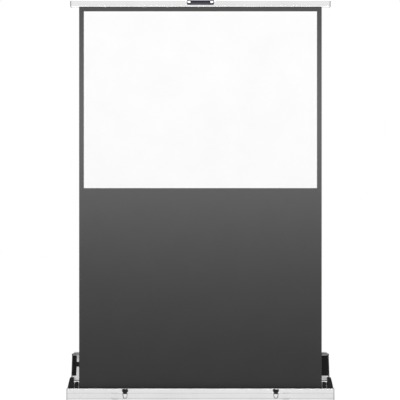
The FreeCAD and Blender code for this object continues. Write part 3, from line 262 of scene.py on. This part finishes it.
def clothLook(name):
    finish = clothFinishes[name]
    look, tree, shader, place = startLook(name)
    weave = tree.nodes.new("ShaderNodeMath")
    weave.operation = "MULTIPLY"
    tree.links.new(waves(tree, place, "X", finish["thread"]), weave.inputs[0])
    tree.links.new(waves(tree, place, "Z", finish["thread"]), weave.inputs[1])
    clouds = noise(tree, place, clothUser["cloudScale"], clothUser["cloudDetail"], clothUser["cloudRough"])
    tree.links.new(mixTones(tree, ramp(tree, clouds, 0.0, 1.0), finish["dark"], finish["light"]),
                   shader.inputs["Base Color"])
    tree.links.new(ramp(tree, weave.outputs["Value"], *finish["rough"], 0.0, 1.0), shader.inputs["Roughness"])
    bump(tree, shader, weave.outputs["Value"], finish["lift"], clothUser["depth"])
    shader.inputs["Sheen Weight"].default_value = finish["sheen"]
    shader.inputs["Specular IOR Level"].default_value = finish["gloss"]
    return look


looks = {name: metalLook(name) for name in metalFinishes}
looks.update({name: mouldedLook(name) for name in mouldedFinishes})
looks.update({name: clothLook(name) for name in clothFinishes})
looks["handleMoulding"] = handleLook()
print("finishes made:", len(looks))

nodeLooks = {
    "anodisedCase": ["case_trough"],
    "anodisedLid": ["lid_profile"],
    "anodisedBar": ["top_bar_profile", "handle_mounts"],
    "castEnd": ["case_end_plate_left", "case_end_plate_right"],
    "armLeftLean": ["left_lower_arm_tube", "right_upper_arm_tube"],
    "armRightLean": ["right_lower_arm_tube", "left_upper_arm_tube"],
    "zincSteel": ["end_plate_screws", "lid_hinge_pins", "roller_spring_shaft", "roller_spring",
                  "arm_base_brackets", "arm_base_pins", "latch_pins", "foot_bolts", "foot_washers",
                  "left_elbow_pin", "right_elbow_pin", "top_brackets", "top_pivot_pins",
                  "top_bracket_screws", "latch_keepers", "roller_tube"],
    "latchSteel": ["latch_plates"],
    "brightNickel": ["handle_eyelets"],
    "loopWire": ["latch_loop_left", "latch_loop_right"],
    "stripSteel": ["lid_strap"],
    "blackMoulding": ["hinge_block_left", "hinge_block_right", "roller_carriers", "roller_plugs",
                      "latch_lever_left", "latch_lever_right", "lid_bumper", "left_lower_arm_knuckles",
                      "left_upper_arm_knuckles", "right_lower_arm_knuckles", "right_upper_arm_knuckles",
                      "left_elbow_washer", "right_elbow_washer"],
    "handleMoulding": ["handle_grip"],
    "darkTrim": ["lid_end_cap_left", "lid_end_cap_right"],
    "greyCap": ["top_bar_end_cap_left", "top_bar_end_cap_right", "fabric_batten"],
    "footPaint": ["foot_left", "foot_right"],
    "padRubber": ["foot_pads_left", "foot_pads_right"],
    "blackBacking": ["screen_backing", "wound_fabric"],
    "whiteSurface": ["viewing_surface"],
    "liningFelt": ["lid_lining"],
}
for lookName, members in nodeLooks.items():
    for member in members:
        nodes[member].data.materials.clear()
        nodes[member].data.materials.append(looks[lookName])
print("nodes dressed:", sum(len(members) for members in nodeLooks.values()))


weldReach = 1e-6  # vertices nearer than this are one


def makePiece(name, bm, lookName, body, stands=()):
    mesh = bpy.data.meshes.new(name)
    bm.to_mesh(mesh)
    bm.free()
    mesh.materials.append(looks[lookName])
    piece = bpy.data.objects.new(name, mesh)
    bpy.context.scene.collection.objects.link(piece)
    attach(piece, body)
    if stands:
        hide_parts(*stands)
    return piece


# screen fabric: black backing and white face, stretched between the roller and the top bar
fabricUser = dict(columns=24, rows=48, rollerHeight=0.05, foldedShare=0.0161)


def makeSheet(name, node, lookName):
    low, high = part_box(node)
    width = high.x - low.x
    height = high.z - low.z
    bm = bmesh.new()
    bmesh.ops.create_grid(bm, x_segments=fabricUser["columns"], y_segments=fabricUser["rows"], size=0.5)
    bmesh.ops.scale(bm, verts=bm.verts, vec=(width, height, 1.0))
    bmesh.ops.rotate(bm, verts=bm.verts, matrix=Matrix.Rotation(math.pi / 2, 3, "X"))
    middle = (low + high) / 2
    bmesh.ops.translate(bm, verts=bm.verts, vec=(middle.x, low.y, middle.z))
    bmesh.ops.recalc_face_normals(bm, faces=bm.faces)
    bmesh.ops.solidify(bm, geom=bm.faces, thickness=high.y - low.y)
    piece = makePiece(name, bm, lookName, "case", (node,))
    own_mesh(piece)


makeSheet("backingCloth", "screen_backing", "blackBacking")
makeSheet("viewingCloth", "viewing_surface", "whiteSurface")
print("screen fabric stretched")

# turns of fabric left on the roller, with stepped edges at both ends
rollUser = dict(layers=9, stepDepth=0.0006, sides=64, tubeGap=0.0001)


def makeRoll():
    low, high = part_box("wound_fabric")
    tubeLow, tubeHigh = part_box("roller_tube")
    centre = (low + high) / 2
    inner = (tubeHigh.z - tubeLow.z) / 2 + rollUser["tubeGap"]
    outer = (high.z - low.z) / 2
    layer = (outer - inner) / rollUser["layers"]
    bm = bmesh.new()
    ring = []
    for end in (high.x, low.x):
        steps = range(rollUser["layers"]) if end == low.x else range(rollUser["layers"] - 1, -1, -1)
        for step in steps:
            back = math.copysign(rollUser["stepDepth"] * (step % 2), end)
            radii = (inner + layer * step, inner + layer * (step + 1))
            for radius in radii if end == low.x else reversed(radii):
                ring.append(bm.verts.new((end - back, centre.y, centre.z + radius)))
    edges = [bm.edges.new(pair) for pair in zip(ring, ring[1:] + ring[:1])]
    bmesh.ops.spin(bm, geom=ring + edges, cent=centre, axis=(1, 0, 0), angle=2 * math.pi,
                   steps=rollUser["sides"], use_merge=True)
    bmesh.ops.remove_doubles(bm, verts=bm.verts, dist=weldReach)
    bmesh.ops.recalc_face_normals(bm, faces=bm.faces)
    makePiece("woundRoll", bm, "blackBacking", "roller", ("wound_fabric",))


makeRoll()
print("roll wound")

# felt lining with softened edges
liningUser = dict(edge=0.0008, edgeSteps=2, flatAngle=0.01)


def makeLining():
    bm = bmesh.new()
    bm.from_mesh(nodes["lid_lining"].data)
    bmesh.ops.remove_doubles(bm, verts=bm.verts, dist=weldReach)
    bmesh.ops.dissolve_limit(bm, angle_limit=liningUser["flatAngle"], verts=bm.verts, edges=bm.edges)
    bmesh.ops.bevel(bm, geom=list(bm.edges), offset=liningUser["edge"], segments=liningUser["edgeSteps"],
                    profile=0.5, affect="EDGES", material=-1)
    makePiece("feltLining", bm, "liningFelt", "lid", ("lid_lining",))


makeLining()
print("lining laid")


# small fixings: every screw and rivet is laid out on the part of the frame that carries it
def islands(node):
    bm = bmesh.new()
    bm.from_mesh(nodes[node].data)
    bmesh.ops.remove_doubles(bm, verts=bm.verts, dist=weldReach)
    waiting = set(bm.verts)
    spans = []
    while waiting:
        reach = [waiting.pop()]
        found = []
        while reach:
            vert = reach.pop()
            found.append(vert.co.copy())
            near = {edge.other_vert(vert) for edge in vert.link_edges} & waiting
            waiting -= near
            reach.extend(near)
        low = Vector([min(point[i] for point in found) for i in range(3)])
        high = Vector([max(point[i] for point in found) for i in range(3)])
        spans.append((low, high))
    bm.free()
    return sorted(spans, key=lambda span: tuple(span[0]))


def seat(bm, fixing, spot, outward):  # a fixing made upright at the origin goes to its place in the piece
    turn = Vector((0, 0, 1)).rotation_difference(outward).to_matrix().to_4x4()
    mesh = bpy.data.meshes.new("fixing")
    fixing.to_mesh(mesh)
    fixing.free()
    mesh.transform(Matrix.Translation(spot) @ turn)
    bm.from_mesh(mesh)
    bpy.data.meshes.remove(mesh)


screwUser = dict(sides=24, armLong=0.60, armWide=0.17, recess=0.55, flat=0.72, shoulder=(0.93, 0.80),
                 rim=0.45)  # shares of the head's radius and height


def addScrew(bm, spot, outward, radius, height):
    long = screwUser["armLong"] * radius
    wide = screwUser["armWide"] * radius
    head = bmesh.new()
    corner = [(long, -wide), (long, wide), (wide, wide)]
    plus = []
    for quarter in range(4):
        turn = Matrix.Rotation(quarter * math.pi / 2, 3, "Z")
        plus += [head.verts.new(turn @ Vector((x, y, height))) for x, y in corner]
    cross = head.faces.new(plus)
    bmesh.ops.subdivide_edges(head, edges=cross.edges[:], cuts=1)
    inner = cross.edges[:]
    turned = Matrix.Translation((0, 0, height)) @ Matrix.Rotation(math.atan2(-wide, long), 4, "Z")
    circle = bmesh.ops.create_circle(head, segments=screwUser["sides"], radius=screwUser["flat"] * radius,
                                     matrix=turned)
    ring = list({edge for vert in circle["verts"] for edge in vert.link_edges})
    bmesh.ops.bridge_loops(head, edges=inner + ring)
    sunk = bmesh.ops.extrude_face_region(head, geom=[cross])
    bmesh.ops.translate(head, verts=[v for v in sunk["geom"] if isinstance(v, bmesh.types.BMVert)],
                        vec=(0, 0, -screwUser["recess"] * height))
    steps = [screwUser["shoulder"], (1.0, screwUser["rim"]), (1.0, 0.0)]
    for share, level in steps:
        grown = bmesh.ops.extrude_edge_only(head, edges=ring)["geom"]
        ring = [part for part in grown if isinstance(part, bmesh.types.BMEdge)]
        for vert in [part for part in grown if isinstance(part, bmesh.types.BMVert)]:
            out = Vector((vert.co.x, vert.co.y, 0)).normalized() * share * radius
            vert.co = (out.x, out.y, level * height)
    bmesh.ops.edgeloop_fill(head, edges=ring)
    seat(bm, head, spot, outward)


def makeScrews():
    bm = bmesh.new()
    for side in ("left", "right"):
        plateLow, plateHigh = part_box("case_end_plate_" + side)
        for low, high in islands("end_plate_screws"):
            middle = (low + high) / 2
            if middle.x * plateLow.x < 0:
                continue
            face = plateHigh.x if middle.x > 0 else plateLow.x
            tip = high.x if middle.x > 0 else low.x
            outward = Vector((math.copysign(1.0, middle.x), 0, 0))
            addScrew(bm, Vector((face, middle.y, middle.z)), outward, (high.y - low.y) / 2, abs(tip - face))
    bmesh.ops.recalc_face_normals(bm, faces=bm.faces)
    makePiece("endPlateScrewHeads", bm, "zincSteel", "case", ("end_plate_screws",))
    bm = bmesh.new()
    for low, high in islands("top_bracket_screws"):
        middle = (low + high) / 2
        spot = Vector((middle.x, low.y, middle.z))
        addScrew(bm, spot, Vector((0, 1, 0)), (high.x - low.x) / 2, high.y - low.y)
    bmesh.ops.recalc_face_normals(bm, faces=bm.faces)
    makePiece("bracketScrewHeads", bm, "zincSteel", "top_bar", ("top_bracket_screws",))


rivetUser = dict(sides=20, arcs=5)


def addRivet(bm, spot, outward, radius, height):
    dome = bmesh.new()
    bend = [math.pi / 2 * step / rivetUser["arcs"] for step in range(rivetUser["arcs"] + 1)]
    curve = [dome.verts.new((radius * math.cos(angle), 0, height * math.sin(angle))) for angle in bend]
    edges = [dome.edges.new(pair) for pair in zip(curve, curve[1:])]
    bmesh.ops.spin(dome, geom=curve + edges, cent=(0, 0, 0), axis=(0, 0, 1), angle=2 * math.pi,
                   steps=rivetUser["sides"], use_merge=True)
    bmesh.ops.remove_doubles(dome, verts=dome.verts, dist=weldReach)
    bmesh.ops.holes_fill(dome, edges=[edge for edge in dome.edges if edge.is_boundary], sides=0)
    seat(bm, dome, spot, outward)


latchUser = dict(plateThickness=0.0015, rivetRadius=0.0021, rivetHeight=0.0009, rivetIn=0.0034,
                 rivetUp=0.0050, ribs=4, ribStep=0.0026, ribHeight=0.0013, ribOut=0.0006, ribWidth=0.022,
                 ribTop=0.0185, ribSoft=0.6, ribEdgeSteps=2, leverFront=0.0024)


def makeLatchRivets():
    bm = bmesh.new()
    for low, high in islands("latch_plates"):
        for x in (low.x + latchUser["rivetIn"], high.x - latchUser["rivetIn"]):
            spot = Vector((x, high.y - latchUser["plateThickness"], low.z + latchUser["rivetUp"]))
            addRivet(bm, spot, Vector((0, -1, 0)), latchUser["rivetRadius"], latchUser["rivetHeight"])
    bmesh.ops.recalc_face_normals(bm, faces=bm.faces)
    makePiece("latchRivets", bm, "zincSteel", "case")


def addBar(bm, low, high, soft):
    made = bmesh.ops.create_cube(bm, size=1.0)
    bmesh.ops.scale(bm, verts=made["verts"], vec=high - low)
    bmesh.ops.translate(bm, verts=made["verts"], vec=(low + high) / 2)
    edges = list({edge for vert in made["verts"] for edge in vert.link_edges})
    bmesh.ops.bevel(bm, geom=edges, offset=soft, segments=latchUser["ribEdgeSteps"], profile=0.5,
                    affect="EDGES", material=-1)


def makeLeverRibs(side):
    body = "latch_lever_" + side
    joint = next(joint for joint in frame["joints"] if joint["name"] == body)
    x, y, z = joint["pos_m"]
    face = y - latchUser["leverFront"]
    half = latchUser["ribWidth"] / 2
    out = latchUser["ribOut"]
    bm = bmesh.new()
    for rib in range(latchUser["ribs"]):
        top = z + latchUser["ribTop"] - rib * latchUser["ribStep"]
        low = Vector((x - half, face - out, top - latchUser["ribHeight"]))
        high = Vector((x + half, face + out, top))
        addBar(bm, low, high, out * latchUser["ribSoft"])
    makePiece("leverRibs_" + side, bm, "blackMoulding", body)


makeScrews()
makeLatchRivets()
for side in ("left", "right"):
    makeLeverRibs(side)
print("fixings set")

# floor, light and camera
stageUser = dict(floorSize=40.0, floorTone=0.80, floorGlow=0.66, worldGlow=0.42)


def backgroundRay(tree):
    path = tree.nodes.new("ShaderNodeLightPath")
    total = path.outputs["Is Camera Ray"]
    for name in ("Is Glossy Ray", "Is Transmission Ray"):
        node = tree.nodes.new("ShaderNodeMath")
        node.operation = "MAXIMUM"
        tree.links.new(total, node.inputs[0])
        tree.links.new(path.outputs[name], node.inputs[1])
        total = node.outputs["Value"]
    return total


def makeFloor():
    bm = bmesh.new()
    bmesh.ops.create_grid(bm, x_segments=1, y_segments=1, size=stageUser["floorSize"] / 2)
    mesh = bpy.data.meshes.new("paleFloor")
    bm.to_mesh(mesh)
    bm.free()
    floor = bpy.data.objects.new("paleFloor", mesh)
    bpy.context.scene.collection.objects.link(floor)
    look = bpy.data.materials.new("paleFloor")
    look.use_nodes = True
    tree = look.node_tree
    tree.nodes.remove(tree.nodes["Principled BSDF"])
    tone = stageUser["floorTone"]
    matte = addNode(tree, "ShaderNodeBsdfDiffuse", Color=(tone, tone, tone, 1.0))
    glow = addNode(tree, "ShaderNodeEmission", Strength=stageUser["floorGlow"])
    both = tree.nodes.new("ShaderNodeAddShader")
    tree.links.new(matte.outputs["BSDF"], both.inputs[0])
    tree.links.new(glow.outputs["Emission"], both.inputs[1])
    choice = tree.nodes.new("ShaderNodeMixShader")
    tree.links.new(backgroundRay(tree), choice.inputs["Fac"])
    tree.links.new(matte.outputs["BSDF"], choice.inputs[1])
    tree.links.new(both.outputs["Shader"], choice.inputs[2])
    tree.links.new(choice.outputs["Shader"], tree.nodes["Material Output"].inputs["Surface"])
    mesh.materials.append(look)


def makeWorld():
    world = bpy.data.worlds.new("studio")
    world.use_nodes = True
    bpy.context.scene.world = world
    tree = world.node_tree
    strength = tree.nodes.new("ShaderNodeMapRange")
    strength.inputs["To Min"].default_value = stageUser["worldGlow"]
    tree.links.new(backgroundRay(tree), strength.inputs["Value"])
    background = tree.nodes["Background"]
    background.inputs["Color"].default_value = (1.0, 1.0, 1.0, 1.0)
    tree.links.new(strength.outputs["Result"], background.inputs["Strength"])


lampUser = {
    "frontStrip": dict(place=(0.0, -9.2, 2.0), aim=(0.0, 0.0, 1.4), size=(9.0, 1.9), watts=585.0),
}


def makeLamps():
    for name, lamp in lampUser.items():
        data = bpy.data.lights.new(name, "AREA")
        data.shape = "RECTANGLE"
        data.size, data.size_y = lamp["size"]
        data.energy = lamp["watts"]
        lampObject = bpy.data.objects.new(name, data)
        bpy.context.scene.collection.objects.link(lampObject)
        lampObject.location = lamp["place"]
        aim = Vector(lamp["aim"]) - Vector(lamp["place"])
        lampObject.rotation_euler = aim.to_track_quat("-Z", "Y").to_euler()
        lampObject.visible_camera = False


cameraUser = dict(place=(-0.0022, -7.5205, 1.0697), lens=128.95, sensor=36.0, far=100.0)


def makeCamera():
    data = bpy.data.cameras.new("frontCamera")
    data.lens = cameraUser["lens"]
    data.sensor_width = cameraUser["sensor"]
    data.clip_end = cameraUser["far"]
    camera = bpy.data.objects.new("frontCamera", data)
    bpy.context.scene.collection.objects.link(camera)
    camera.location = cameraUser["place"]
    camera.rotation_euler = (math.pi / 2, 0.0, 0.0)
    bpy.context.scene.camera = camera


makeFloor()
makeWorld()
makeLamps()
makeCamera()
bpy.context.scene.view_settings.view_transform = "Standard"
print("stage set")
